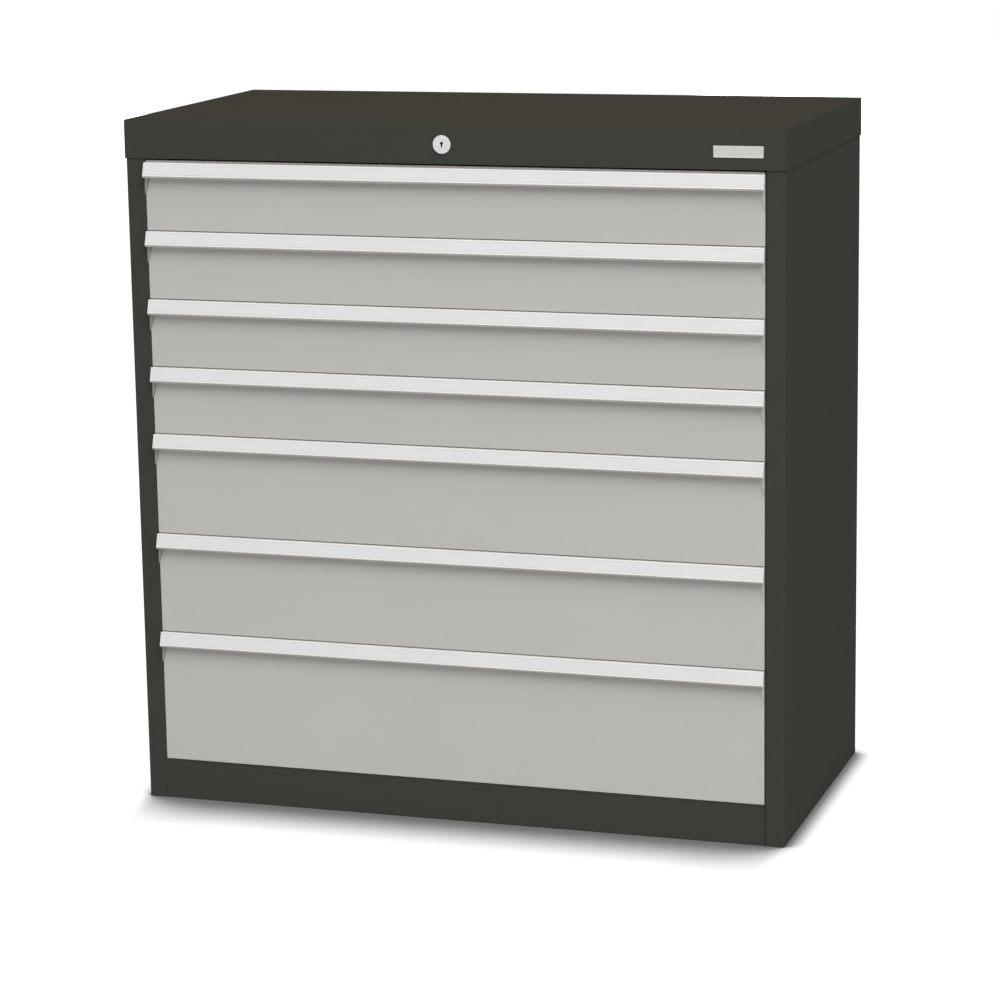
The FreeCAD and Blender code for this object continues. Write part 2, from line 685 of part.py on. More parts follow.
def grip_cap(top):
    """Right-hand moulded end cap: a plate over the grip's end, and below the lip a flat
    gusset on the panel that tapers out at its edge."""
    start = PANEL_HALF + CAP_OVERHANG - CAP_THICKNESS
    end = start + CAP_THICKNESS
    lip = top - GRIP_FACE_HEIGHT - GRIP_LIP_HEIGHT
    outline = grip_skin()[:4] + [(0, GRIP_FACE_HEIGHT + GRIP_LIP_HEIGHT)]
    points = [(FACE - reach, top - depth) for reach, depth in outline]
    plate = prism(points, section, vec(start, 0, 0), vec(CAP_THICKNESS, 0, 0))
    corners = [(end, lip), (end - CAP_GUSSET_WIDTH, lip), (end, lip - CAP_GUSSET_DROP)]
    thickness = vec(0, -CAP_GUSSET_THICKNESS, 0)
    gusset = prism(corners, elevation, vec(0, FACE, 0), thickness)
    return union([plate, gusset])


def lug(low):
    """Bracket on the tray's right side, which stands behind its catch when locked."""
    front = FACE + LOCK_BAR_START + LOCK_BAR_THICKNESS + LUG_GAP
    outer = MIDDLE_WEB + CATCH_REACH / 2
    half = TRAY_HALF_WIDTH
    points = [
        (half, front),
        (outer, front),
        (outer, front + LUG_THICKNESS),
        (half + LUG_THICKNESS, front + LUG_THICKNESS),
        (half + LUG_THICKNESS, front + LUG_FOOT),
        (half, front + LUG_FOOT),
    ]
    return prism(points, plan, vec(0, 0, low + LUG_RISE), vec(0, 0, LUG_HEIGHT))


# ================================================================ lock

def lock_housing():
    """Threaded barrel with its rosette, and the nut behind the head rail."""
    front = COVER_FRONT - LOCK_FLANGE_THICKNESS
    end = FACE + LOCK_BARREL_END
    rosette = cylinder_y(LOCK_X, LOCK_Z, LOCK_FLANGE_DIAMETER / 2, front, COVER_FRONT)
    barrel = cylinder_y(LOCK_X, LOCK_Z, LOCK_BARREL_DIAMETER / 2, COVER_FRONT, end)
    bore = cylinder_y(LOCK_X, LOCK_Z, PLUG_DIAMETER / 2 + PLUG_PLAY, front - 1, end + 1)
    return union([rosette, barrel]).cut(bore)


def lock_nut():
    start = FACE + BODY_SHEET
    corners = []
    for index in range(6):
        angle = math.radians(60 * index)
        radius = NUT_ACROSS / 2 / math.cos(math.radians(30))
        corners.append((LOCK_X + radius * math.cos(angle), LOCK_Z + radius * math.sin(angle)))
    hexagon = prism(corners, elevation, vec(0, start, 0), vec(0, NUT_THICKNESS, 0))
    radius = LOCK_BARREL_DIAMETER / 2
    return hexagon.cut(cylinder_y(LOCK_X, LOCK_Z, radius, start - 1, start + NUT_THICKNESS + 1))


def lock_plug():
    """Turning plug with its keyway, and the square shank that carries the cam."""
    front = COVER_FRONT - LOCK_FLANGE_THICKNESS - PLUG_PROUD
    end = FACE + LOCK_BARREL_END + CAM_GAP
    plug = cylinder_y(LOCK_X, LOCK_Z, PLUG_DIAMETER / 2, front, end)
    half = PLUG_SHANK / 2
    shank = box(
        LOCK_X - half, LOCK_X + half,
        end, end + CAM_THICKNESS,
        LOCK_Z - half, LOCK_Z + half,
    )
    eye_z = LOCK_Z + KEYWAY_HEIGHT / 2 - KEYWAY_EYE / 2
    eye = cylinder_y(LOCK_X, eye_z, KEYWAY_EYE / 2, front - 1, front + KEYWAY_DEPTH)
    key_slot = box(
        LOCK_X - KEYWAY_WIDTH / 2, LOCK_X + KEYWAY_WIDTH / 2,
        front - 1, front + KEYWAY_DEPTH,
        LOCK_Z - KEYWAY_HEIGHT / 2, eye_z,
    )
    return union([plug, shank]).cut(union([eye, key_slot]))


def cam_pin_place(angle):
    """Centre of the cam's pin when the arm stands at an angle from straight down."""
    return (LOCK_X + CAM_RADIUS * math.sin(angle), LOCK_Z - CAM_RADIUS * math.cos(angle))


def lock_cam():
    """Cam with the pin that drives the slide bar, drawn with the lock open."""
    start = FACE + LOCK_BARREL_END + CAM_GAP
    pin_x, pin_z = cam_pin_place(-HALF_TURN)
    hub = cylinder_y(LOCK_X, LOCK_Z, CAM_HUB_RADIUS, start, start + CAM_THICKNESS)
    tip = cylinder_y(pin_x, pin_z, CAM_TIP_RADIUS, start, start + CAM_THICKNESS)
    across = vec(math.cos(HALF_TURN), 0, -math.sin(HALF_TURN)) * CAM_TIP_RADIUS
    ends = [vec(LOCK_X, start, LOCK_Z), vec(pin_x, start, pin_z)]
    corners = [ends[0] + across, ends[1] + across, ends[1] - across, ends[0] - across]
    arm = Part.Face(Part.makePolygon(corners + corners[:1])).extrude(vec(0, CAM_THICKNESS, 0))
    pin_end = FACE + SLIDE_BAR_START + SLIDE_BAR_THICKNESS
    pin = cylinder_y(pin_x, pin_z, LOCK_PIN_DIAMETER / 2, start + CAM_THICKNESS, pin_end)
    half = PLUG_SHANK / 2
    square = box(
        LOCK_X - half, LOCK_X + half,
        start - 1, start + CAM_THICKNESS + 1,
        LOCK_Z - half, LOCK_Z + half,
    )
    return union([hub, arm, tip, pin]).cut(square)


def round_ended_slot(start, end, radius, y0, y1):
    """Cutter for a slot whose ends are round, between two (x, z) centres."""
    run = vec(end[0] - start[0], 0, end[1] - start[1])
    across = vec(-run.z, 0, run.x).normalize() * radius
    first = vec(start[0], y0, start[1])
    last = first + run
    corners = [first + across, last + across, last - across, first - across]
    web = Part.Face(Part.makePolygon(corners + corners[:1])).extrude(vec(0, y1 - y0, 0))
    caps = [cylinder_y(point[0], point[1], radius, y0, y1) for point in (start, end)]
    return union([web] + caps)


def lift_pin_place():
    """Centre of the lock bar's pin, with the lock open."""
    low_pin = cam_pin_place(-HALF_TURN)[1]
    middle = (low_pin + LOCK_Z - CAM_RADIUS) / 2
    return (lock_bar_edges()[0] - LOCK_ARM_REACH, middle - LOCK_BAR_LIFT / 2)


def slide_bar_heights():
    middle = lift_pin_place()[1] + LOCK_BAR_LIFT / 2
    return middle - SLIDE_BAR_HEIGHT / 2, middle + SLIDE_BAR_HEIGHT / 2


def slide_bar():
    """Flat bar behind the head rail: an upright slot for the cam's pin at one end, and a
    sloping slot that lifts the lock bar at the other."""
    front = FACE + SLIDE_BAR_START
    back = front + SLIDE_BAR_THICKNESS
    low, high = slide_bar_heights()
    radius = LOCK_PIN_DIAMETER / 2 + PIN_SLOT_PLAY
    pin_x, pin_z = cam_pin_place(-HALF_TURN)
    lift_x, lift_z = lift_pin_place()
    bar = box(pin_x - SLIDE_BAR_CAM_END, lift_x + SLIDE_BAR_LIFT_END, front, back, low, high)
    bottom_of_turn = (pin_x, LOCK_Z - CAM_RADIUS)
    top_of_lift = (lift_x - SLIDE_BAR_TRAVEL, lift_z + LOCK_BAR_LIFT)
    for start, end in ((bottom_of_turn, (pin_x, pin_z)), (top_of_lift, (lift_x, lift_z))):
        bar = bar.cut(round_ended_slot(start, end, radius, front - 1, back + 1))
    return bar


def lock_bar_edges():
    return OUTER_WEB + LOCK_BAR_RAIL_GAP, WALL_INSIDE - LOCK_BAR_WALL_GAP


def lock_bar():
    """Upright bar beside the right-hand stile, with an arm and pin at its head."""
    front = FACE + LOCK_BAR_START
    back = front + LOCK_BAR_THICKNESS
    inner, outer = lock_bar_edges()
    lift_x, lift_z = lift_pin_place()
    foot = PLINTH_HEIGHT + LOCK_BAR_FOOT
    head = lift_z + LOCK_ARM_MARGIN
    strip = box(inner, outer, front, back, foot, head)
    arm = box(lift_x - LOCK_ARM_MARGIN, outer, front, back, lift_z - LOCK_ARM_MARGIN, head)
    pin = cylinder_y(lift_x, lift_z, LOCK_PIN_DIAMETER / 2, FACE + SLIDE_BAR_START, front)
    return union([strip, arm, pin])


def catch(low):
    """Finger welded to the lock bar's inner edge."""
    front = FACE + LOCK_BAR_START
    inner = lock_bar_edges()[0]
    bottom = low + CATCH_RISE
    return box(
        inner - CATCH_REACH, inner,
        front, front + LOCK_BAR_THICKNESS,
        bottom, bottom + CATCH_HEIGHT,
    )


def bar_guide(z):
    """Closed strap round the lock bar, welded to the wall."""
    front = FACE + LOCK_BAR_START - RUNNING_GAP
    back = FACE + LOCK_BAR_START + LOCK_BAR_THICKNESS + RUNNING_GAP
    inner, outer = lock_bar_edges()
    strap = box(
        inner - RUNNING_GAP - GUIDE_WALL, WALL_INSIDE,
        front - GUIDE_WALL, back + GUIDE_WALL,
        z, z + GUIDE_HEIGHT,
    )
    way = box(inner - RUNNING_GAP, outer + RUNNING_GAP, front, back, z - 1, z + GUIDE_HEIGHT + 1)
    return strap.cut(way)


def slide_strap(x):
    """Hooked strap that hangs from the head rail and carries the slide bar."""
    low, high = slide_bar_heights()
    over = high + RUNNING_GAP + STRAP_SHEET
    under = low - RUNNING_GAP - STRAP_SHEET
    rear = FACE + SLIDE_BAR_START + SLIDE_BAR_THICKNESS + RUNNING_GAP + STRAP_SHEET
    near = FACE + SLIDE_BAR_START - RUNNING_GAP - STRAP_SHEET
    weld = FACE + BODY_SHEET + STRAP_SHEET
    skin = [
        (near, low + STRAP_LIP),
        (near, under),
        (rear, under),
        (rear, over),
        (weld, over),
        (weld, over + STRAP_LIP),
    ]
    start = vec(x - STRAP_WIDTH / 2, 0, 0)
    return sharp_folded(skin, STRAP_SHEET, section, start, vec(STRAP_WIDTH, 0, 0))


# ================================================================ assembly

os.makedirs("parts", exist_ok=True)
lines = pitch_lines()

right_side = side_panel()
export("side_panel_right", [right_side])
export("side_panel_left", [mirrored(right_side)])
export("back_panel", [back_panel()])
export("base", [base()])
export("top_cover", [top_cover()])
export("head_rail", [head_rail()])

right_uprights = [upright(front) for front in UPRIGHT_FRONTS]
export("uprights_right", right_uprights)
export("uprights_left", [mirrored(channel) for channel in right_uprights])

right_rails = []
for low, high in lines:
    right_rails += outer_rail(low)
export("cabinet_rails_right", right_rails)
export("cabinet_rails_left", [mirrored(solid) for solid in right_rails])

for number, (low, high) in enumerate(lines, start=1):
    name = "drawer_%d_" % number
    top = high - PANEL_TOP_DROP
    export(name + "tray", [tray(low, high)])
    export(name + "panel", [drawer_panel(low, high, number == len(lines))])
    export(name + "grip", [grip(top)])
    export(name + "grip_caps", both_sides([grip_cap(top)]))
    export(name + "runners", both_sides(drawer_rail(low + SLIDE_RISE)) + [lug(low)])
    export(name + "middle_rails", both_sides(middle_rail(low + SLIDE_RISE)))

export("lock_housing", [lock_housing(), lock_nut()])
export("lock_plug", [lock_plug()])
export("lock_cam", [lock_cam()])
export("lock_slide_bar", [slide_bar()])
export("lock_bar", [lock_bar()])
export("lock_catches", [catch(low) for low, high in lines])
guides = [bar_guide(lines[number - 1][0] - GUIDE_HEIGHT / 2) for number in GUIDE_DRAWERS]
export("lock_guides", guides + [slide_strap(x) for x in STRAP_PLACES])
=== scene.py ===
import json
import math

import bmesh
import bpy
from mathutils import Matrix, Vector


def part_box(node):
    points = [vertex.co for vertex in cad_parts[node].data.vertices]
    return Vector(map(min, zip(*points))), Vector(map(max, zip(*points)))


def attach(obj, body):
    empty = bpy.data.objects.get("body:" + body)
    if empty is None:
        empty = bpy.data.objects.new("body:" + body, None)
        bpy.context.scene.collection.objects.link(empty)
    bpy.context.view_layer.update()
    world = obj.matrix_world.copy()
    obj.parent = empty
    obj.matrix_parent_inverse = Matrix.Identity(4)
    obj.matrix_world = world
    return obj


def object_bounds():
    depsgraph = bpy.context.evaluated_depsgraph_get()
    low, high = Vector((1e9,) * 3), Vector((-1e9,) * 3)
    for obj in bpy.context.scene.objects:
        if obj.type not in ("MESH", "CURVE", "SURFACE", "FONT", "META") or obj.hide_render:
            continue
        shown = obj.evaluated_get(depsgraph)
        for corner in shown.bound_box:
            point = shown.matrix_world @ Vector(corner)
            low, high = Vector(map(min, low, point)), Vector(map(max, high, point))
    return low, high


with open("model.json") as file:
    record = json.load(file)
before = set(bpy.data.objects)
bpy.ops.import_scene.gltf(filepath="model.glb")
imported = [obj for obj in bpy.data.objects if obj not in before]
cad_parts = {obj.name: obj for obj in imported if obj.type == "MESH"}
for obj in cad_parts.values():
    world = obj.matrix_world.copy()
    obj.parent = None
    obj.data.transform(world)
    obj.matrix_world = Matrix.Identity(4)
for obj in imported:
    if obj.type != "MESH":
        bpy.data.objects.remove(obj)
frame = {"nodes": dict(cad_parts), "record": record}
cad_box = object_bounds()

# Looks for the steel drawer cabinet: camera, finishes, studio, and the four things that are
# only in the visual model: the blank label strips in the grips, the felt strip on the top
# drawer's upper edge, the painted sill under the lowest drawer and the bare plate on the cover.
# Metres, watts and linear colours, in the part's own frame: +Z up, the fronts face -Y.

MM = 0.001
scene = bpy.context.scene

# ------------------------------------------------------------------ places on the object
DRAWERS = 7
FACE = -243.9 * MM           # the front plane of the body and of the drawers' panels
BODY_HALF = cad_box[1].x
TOP_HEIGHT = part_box("top_cover")[1].z
PLINTH_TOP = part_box("base")[1].z
lock_low, lock_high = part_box("lock_plug")
LOCK_PLACE = ((lock_low.x + lock_high.x) / 2, lock_low.y, (lock_low.z + lock_high.z) / 2)

# ------------------------------------------------------------------ colours
HOUSING = (0.0485, 0.0498, 0.0412)
DECK_SHADE = (0.0372, 0.0335, 0.0265)      # painted shade: the cover's upper face, darker and warmer so that light from above leaves it as dark as the front
DRAWER = (0.480, 0.474, 0.446)
INNER = (0.40, 0.40, 0.385)
ZINC = (0.62, 0.63, 0.64)
ZINC_TINTED = (0.56, 0.55, 0.50)     # where the passivation is thicker
GRIP = (0.71, 0.685, 0.677)
GRIP_LIGHT = (0.74, 0.715, 0.707)
GRIP_UNDER_SHADE = (0.50, 0.47, 0.455)   # painted shade on the downward faces under the lip
# the moulding's grey, darker than the rim partly as painted shade under the lip
CAP = (0.46, 0.445, 0.43)
CAP_LEFT_SHADE = (0.27, 0.25, 0.24)     # painted shade at the left ends of the grips
CAP_RIM = (0.74, 0.73, 0.725)        # lacquered to match the grip
NICKEL = (0.62, 0.62, 0.61)
NICKEL_LIGHT = (0.68, 0.68, 0.67)
# painted shade inside the keyhole
KEYHOLE_SHADE = (0.008, 0.008, 0.009)
CARD = (0.645, 0.645, 0.645)
CARD_LIGHT = (0.665, 0.665, 0.663)
CARD_FIBRE = (0.615, 0.615, 0.615)
FELT = (0.33, 0.315, 0.30)
FELT_LIGHT = (0.38, 0.36, 0.345)
FELT_PILE = (0.26, 0.25, 0.24)
PLATE = (0.50, 0.485, 0.47)
PLATE_LIGHT = (0.61, 0.595, 0.576)
WHITE = (1.0, 1.0, 1.0)
BLACK = (0.0, 0.0, 0.0)

# ------------------------------------------------------------------ camera
CAMERA_PLACE = (1.4833, -4.6143, 1.46125)
CAMERA_YAW = -17.8896        # degrees to the right of +Y
CAMERA_PITCH = -12.0072
CAMERA_ROLL = -0.8768
FOCAL_IN_WIDTHS = 3.28739    # focal length over the width of the picture
SENSOR = 36.0                # millimetres, as Blender counts a sensor and a lens


def make_camera():
    """The camera of the photograph, which sees the front and the right side from above."""
    yaw, pitch, roll = (math.radians(a) for a in (CAMERA_YAW, CAMERA_PITCH, CAMERA_ROLL))
    look = Vector((
        math.sin(yaw) * math.cos(pitch), math.cos(yaw) * math.cos(pitch), math.sin(pitch),
    ))
    right = look.cross(Vector((0, 0, 1))).normalized()
    up = right.cross(look)
    tilted_right = right * math.cos(roll) + up * math.sin(roll)
    tilted_up = up * math.cos(roll) - right * math.sin(roll)
    turn = Matrix((tilted_right, tilted_up, -look)).transposed()
    data = bpy.data.cameras.new("camera")
    data.sensor_width = SENSOR
    data.lens = SENSOR * FOCAL_IN_WIDTHS
    data.clip_start = 0.05
    data.clip_end = 200
    camera = bpy.data.objects.new("camera", data)
    camera.matrix_world = Matrix.Translation(CAMERA_PLACE) @ turn.to_4x4()
    scene.collection.objects.link(camera)
    scene.camera = camera


# ------------------------------------------------------------------ node helpers
NOISE_LOW, NOISE_HIGH = 0.3, 0.7     # nearly all of a noise texture's values lie between these


class Nodes:
    """A short way to write a node tree. A value is a number, an (r, g, b), an (x, y, z) or
    the socket that it comes from."""

    def __init__(self, tree):
        self.tree = tree
        tree.nodes.clear()

    def add(self, kind, inputs=None, **settings):
        node = self.tree.nodes.new(kind)
        for name, value in settings.items():
            setattr(node, name, value)
        for name, value in (inputs or {}).items():
            self.put(node.inputs[name], value)
        return node

    def put(self, socket, value):
        if isinstance(value, bpy.types.NodeSocket):
            self.tree.links.new(value, socket)
        elif socket.type == "RGBA":
            socket.default_value = (*value, 1.0)
        else:
            socket.default_value = value

    def math(self, operation, a, b=0.0):
        node = self.add("ShaderNodeMath", operation=operation)
        self.put(node.inputs[0], a)
        self.put(node.inputs[1], b)
        return node.outputs[0]

    def vector_math(self, operation, a, b=(0.0, 0.0, 0.0)):
        node = self.add("ShaderNodeVectorMath", operation=operation)
        self.put(node.inputs[0], a)
        self.put(node.inputs[1], b)
        return node

    def axis(self, vector, name):
        return self.add("ShaderNodeSeparateXYZ", {"Vector": vector}).outputs[name]

    def stretched(self, place, scale):
        return self.add("ShaderNodeMapping", {"Vector": place, "Scale": scale}).outputs["Vector"]

    def noise(self, place, scale, detail=2.0, roughness=0.5):
        node = self.add("ShaderNodeTexNoise", {
            "Vector": place, "Scale": scale, "Detail": detail, "Roughness": roughness,
        })
        return node.outputs["Fac"]

    def span(self, value, low, high, to_low, to_high, curve="LINEAR"):
        """The value's range from low to high, carried over to another range and held there."""
        node = self.add("ShaderNodeMapRange", {
            "Value": value, "From Min": low, "From Max": high, "To Min": to_low, "To Max": to_high,
        }, interpolation_type=curve)
        return node.outputs["Result"]

    def vary(self, noise, least, most):
        """A number that follows a noise from least to most."""
        return self.span(noise, NOISE_LOW, NOISE_HIGH, least, most)

    def mix(self, share, first, second):
        node = self.add("ShaderNodeMix", {
            "Factor": share, "A": first, "B": second,
        }, data_type="RGBA")
        return node.outputs["Result"]

    def mottle(self, noise, first, second):
        """A colour that follows a noise from the first to the second."""
        return self.mix(self.vary(noise, 0.0, 1.0), first, second)

    def bump(self, height, distance, strength):
        node = self.add("ShaderNodeBump", {
            "Height": height, "Distance": distance, "Strength": strength,
        })
        return node.outputs["Normal"]


def shade(colour, factor):
    return tuple(c * factor for c in colour)


def new_material(name):
    """A material, its node helper, its Principled shader's inputs and the place on the object."""
    material = bpy.data.materials.new(name)
    material.use_nodes = True
    nodes = Nodes(material.node_tree)
    bsdf = nodes.add("ShaderNodeBsdfPrincipled")
    nodes.add("ShaderNodeOutputMaterial", {"Surface": bsdf.outputs["BSDF"]})
    place = nodes.add("ShaderNodeTexCoord").outputs["Object"]
    return material, nodes, bsdf.inputs, place


# ------------------------------------------------------------------ finishes
EDGE_RADIUS = 1.1 * MM               # how far from a fold the paint can be rubbed
FLAT_TURN, FOLD_TURN = 0.985, 0.80   # cosines: no wear above the first, all of it below the second
RUBBED = 1.2                         # how much lighter rubbed paint is
DECK_FROM, DECK_FULL = 1.0 * MM, 0.2 * MM        # below the top, where the deck's painted shade sets in
LEFT_SHADE_FROM, LEFT_SHADE_FULL = -0.2, -0.4          # X, where the caps' painted shade at the left ends sets in
RIM_FROM, RIM_FULL = 3.1 * MM, 3.5 * MM          # before the face, where the caps' rims begin
KEYHOLE_EDGE, KEYHOLE_FULL = 5.0 * MM, 4.6 * MM  # off the lock's axis
KEYHOLE_MOUTH, KEYHOLE_DEEP = 0.15 * MM, 0.6 * MM


def powder_coat(name, colour, roughness, specular, peel, deck=None):
    """Baked powder paint: a fine orange peel, a faint cloudiness, and edges rubbed a little
    lighter where the paint is thin over a fold. A deck, given as (height, colour), is an
    upper face painted darker and warmer as shade, so that light from above doesn't brighten it."""
    material, nodes, looks, place = new_material(name)
    cloud = nodes.noise(place, scale=7.0, detail=3.0)
    grain = nodes.noise(place, scale=620.0)
    body = nodes.mottle(cloud, shade(colour, 0.99), shade(colour, 1.01))
    body = nodes.mix(nodes.span(grain, 0.35, 0.65, 0.0, 0.25), body, shade(colour, 1.04))
    # Painted shade: the upper face is darkened so that light from above doesn't brighten it.
    if deck is not None:
        top, shade_tone = deck
        shaded_top = nodes.mottle(cloud, shade(shade_tone, 0.985), shade(shade_tone, 1.015))
        height = nodes.axis(place, "Z")
        on_top = nodes.span(height, top - DECK_FROM, top - DECK_FULL, 0.0, 1.0)
        body = nodes.mix(on_top, body, shaded_top)
    rounded = nodes.add("ShaderNodeBevel", {"Radius": EDGE_RADIUS}, samples=4).outputs["Normal"]
    true = nodes.add("ShaderNodeNewGeometry").outputs["True Normal"]
    turn = nodes.vector_math("DOT_PRODUCT", rounded, true).outputs["Value"]
    near_edge = nodes.span(turn, FLAT_TURN, FOLD_TURN, 0.0, 1.0)
    patches = nodes.noise(place, scale=55.0, detail=4.0, roughness=0.6)
    worn = nodes.math("MULTIPLY", near_edge, nodes.span(patches, 0.50, 0.72, 0.0, 0.55))
    nodes.put(looks["Base Color"], nodes.mix(worn, body, shade(colour, RUBBED)))
    smear = nodes.noise(place, scale=13.0, detail=4.0, roughness=0.6)
    nodes.put(looks["Roughness"], nodes.vary(smear, roughness - 0.02, roughness + 0.02))
    looks["Specular IOR Level"].default_value = specular
    skin = nodes.noise(place, scale=380.0, detail=1.0)
    nodes.put(looks["Normal"], nodes.bump(skin, peel, 0.35))
    return material


def zinc(name):
    """Zinc-plated sheet: bright, with the passivation's cloudy tint and rolling lines."""
    material, nodes, looks, place = new_material(name)
    cloud = nodes.noise(place, scale=22.0, detail=4.0, roughness=0.6)
    tint = nodes.mix(nodes.span(cloud, 0.35, 0.65, 0.0, 1.0), ZINC, ZINC_TINTED)
    nodes.put(looks["Base Color"], tint)
    looks["Metallic"].default_value = 0.85
    lines = nodes.noise(nodes.stretched(place, (900.0, 12.0, 900.0)), scale=1.0)
    nodes.put(looks["Roughness"], nodes.vary(lines, 0.34, 0.46))
    nodes.put(looks["Normal"], nodes.bump(lines, 0.02 * MM, 0.4))
    return material


def anodised(name):
    """Clear anodised extrusion: satin, with faint die lines along its length, and painted
    shade on its downward faces under the lip."""
    material, nodes, looks, place = new_material(name)
    lines = nodes.noise(nodes.stretched(place, (3.0, 2400.0, 2400.0)), scale=1.0)
    cloud = nodes.noise(place, scale=9.0)
    clean = nodes.mottle(cloud, GRIP, GRIP_LIGHT)
    facing = nodes.axis(nodes.add("ShaderNodeNewGeometry").outputs["Normal"], "Z")
    # Painted shade: faces turned downwards under the lip are darkened, a little unevenly.
    under_lip = nodes.span(facing, -0.25, -0.55, 0.0, 1.0)
    under_shade = nodes.math("MULTIPLY", under_lip, nodes.span(cloud, 0.2, 0.8, 0.85, 1.0))
    nodes.put(looks["Base Color"], nodes.mix(under_shade, clean, GRIP_UNDER_SHADE))
    looks["Metallic"].default_value = 0.35
    looks["Specular IOR Level"].default_value = 0.3
    nodes.put(looks["Roughness"], nodes.vary(lines, 0.50, 0.58))
    nodes.put(looks["Normal"], nodes.bump(lines, 0.02 * MM, 0.3))
    return material


def cap_plastic(name):
    """Moulded plastic with a fine spark-eroded texture, lacquered to match the extrusion where it
    stands out round the grip's end. Elsewhere it is darker, partly as painted shade under the
    lip, and darker still at the left ends, which is painted shade."""
    material, nodes, looks, place = new_material(name)
    grain = nodes.noise(place, scale=1500.0, detail=3.0)
    cloud = nodes.noise(place, scale=60.0)
    clean = nodes.mottle(cloud, shade(CAP, 0.97), shade(CAP, 1.03))
    # Painted shade: the caps are darker towards the left ends.
    left = nodes.span(nodes.axis(place, "X"), LEFT_SHADE_FROM, LEFT_SHADE_FULL, 0.0, 1.0)
    moulding_and_shade = nodes.mix(left, clean, CAP_LEFT_SHADE)
    depth = nodes.axis(place, "Y")
    stands_out = nodes.span(depth, FACE - RIM_FROM, FACE - RIM_FULL, 0.0, 1.0)
    nodes.put(looks["Base Color"], nodes.mix(stands_out, moulding_and_shade, CAP_RIM))
    nodes.put(looks["Roughness"], nodes.vary(grain, 0.45, 0.55))
    nodes.put(looks["Normal"], nodes.bump(grain, 0.03 * MM, 0.4))
    return material


def nickel(name):
    """Satin nickel plate on the lock, turned in fine rings round the keyhole, whose inside is
    painted dark as shade."""
    material, nodes, looks, place = new_material(name)
    from_lock = nodes.vector_math("SUBTRACT", place, LOCK_PLACE).outputs["Vector"]
    rings = nodes.add("ShaderNodeTexWave", {
        "Vector": from_lock, "Scale": 420.0, "Distortion": 0.6, "Detail": 1.0,
    }, wave_type="RINGS", rings_direction="Y").outputs["Fac"]
    plated = nodes.mottle(nodes.noise(place, scale=260.0), NICKEL, NICKEL_LIGHT)
    across = nodes.vector_math("MULTIPLY", from_lock, (1.0, 0.0, 1.0)).outputs["Vector"]
    off_axis = nodes.vector_math("LENGTH", across).outputs["Value"]
    # Painted shade: inside the keyhole, past its mouth, the plate is dark and not metallic.
    inside = nodes.span(off_axis, KEYHOLE_EDGE, KEYHOLE_FULL, 0.0, 1.0)
    deep = nodes.span(nodes.axis(from_lock, "Y"), KEYHOLE_MOUTH, KEYHOLE_DEEP, 0.0, 1.0)
    dark = nodes.math("MULTIPLY", inside, deep)
    nodes.put(looks["Base Color"], nodes.mix(dark, plated, KEYHOLE_SHADE))
    nodes.put(looks["Metallic"], nodes.span(dark, 0.0, 1.0, 0.9, 0.0))
    nodes.put(looks["Roughness"], nodes.span(rings, 0.0, 1.0, 0.30, 0.38))
    nodes.put(looks["Normal"], nodes.bump(rings, 0.01 * MM, 0.25))
    return material


def label_card(name):
    """Blank card behind a clear satin film: paper fibres under a smooth coat."""
    material, nodes, looks, place = new_material(name)
    fibre = nodes.noise(place, scale=900.0, detail=5.0, roughness=0.65)
    card = nodes.mottle(nodes.noise(place, scale=12.0), CARD, CARD_LIGHT)
    fibrous = nodes.mix(nodes.span(fibre, 0.4, 0.65, 0.0, 0.3), card, CARD_FIBRE)
    nodes.put(looks["Base Color"], fibrous)
    nodes.put(looks["Roughness"], nodes.vary(fibre, 0.42, 0.52))
    looks["Specular IOR Level"].default_value = 0.35
    looks["Coat Weight"].default_value = 0.15
    looks["Coat Roughness"].default_value = 0.25
    nodes.put(looks["Normal"], nodes.bump(fibre, 0.03 * MM, 0.3))
    return material


def felt(name):
    """Short-pile grey felt."""
    material, nodes, looks, place = new_material(name)
    pile = nodes.noise(place, scale=2600.0, detail=4.0, roughness=0.7)
    tuft = nodes.mottle(nodes.noise(place, scale=90.0, detail=3.0), FELT, FELT_LIGHT)
    piled = nodes.mix(nodes.span(pile, 0.35, 0.65, 0.0, 0.5), tuft, FELT_PILE)
    nodes.put(looks["Base Color"], piled)
    looks["Roughness"].default_value = 0.95
    looks["Specular IOR Level"].default_value = 0.1
    looks["Sheen Weight"].default_value = 0.3
    nodes.put(looks["Normal"], nodes.bump(pile, 0.1 * MM, 0.6))
    return material


def brushed_plate(name):
    """Brushed aluminium of the bare plate, its grain along the plate."""
    material, nodes, looks, place = new_material(name)
    along = nodes.stretched(place, (40.0, 3200.0, 3200.0))
    lines = nodes.noise(along, scale=1.0, detail=4.0, roughness=0.6)
    nodes.put(looks["Base Color"], nodes.mottle(lines, PLATE, PLATE_LIGHT))
    looks["Metallic"].default_value = 0.75
    nodes.put(looks["Roughness"], nodes.vary(lines, 0.32, 0.46))
    nodes.put(looks["Normal"], nodes.bump(lines, 0.02 * MM, 0.5))
    return material


finishes = {
    "housing_paint": powder_coat(
        "housing_paint_looks", HOUSING, roughness=0.82, specular=0.008, peel=0.04 * MM,
        deck=(TOP_HEIGHT, DECK_SHADE),
    ),
    "drawer_paint": powder_coat(
        "drawer_paint_looks", DRAWER, roughness=0.62, specular=0.20, peel=0.04 * MM,
    ),
    "inner_paint": powder_coat(
        "inner_paint_looks", INNER, roughness=0.48, specular=0.40, peel=0.03 * MM,
    ),
    "zinc_steel": zinc("zinc_steel_looks"),
    "grip_aluminium": anodised("grip_aluminium_looks"),
    "cap_plastic": cap_plastic("cap_plastic_looks"),
    "lock_metal": nickel("lock_metal_looks"),
}
card_finish = label_card("label_card_looks")
plate_finish = brushed_plate("plate_looks")
felt_finish = felt("seal_looks")

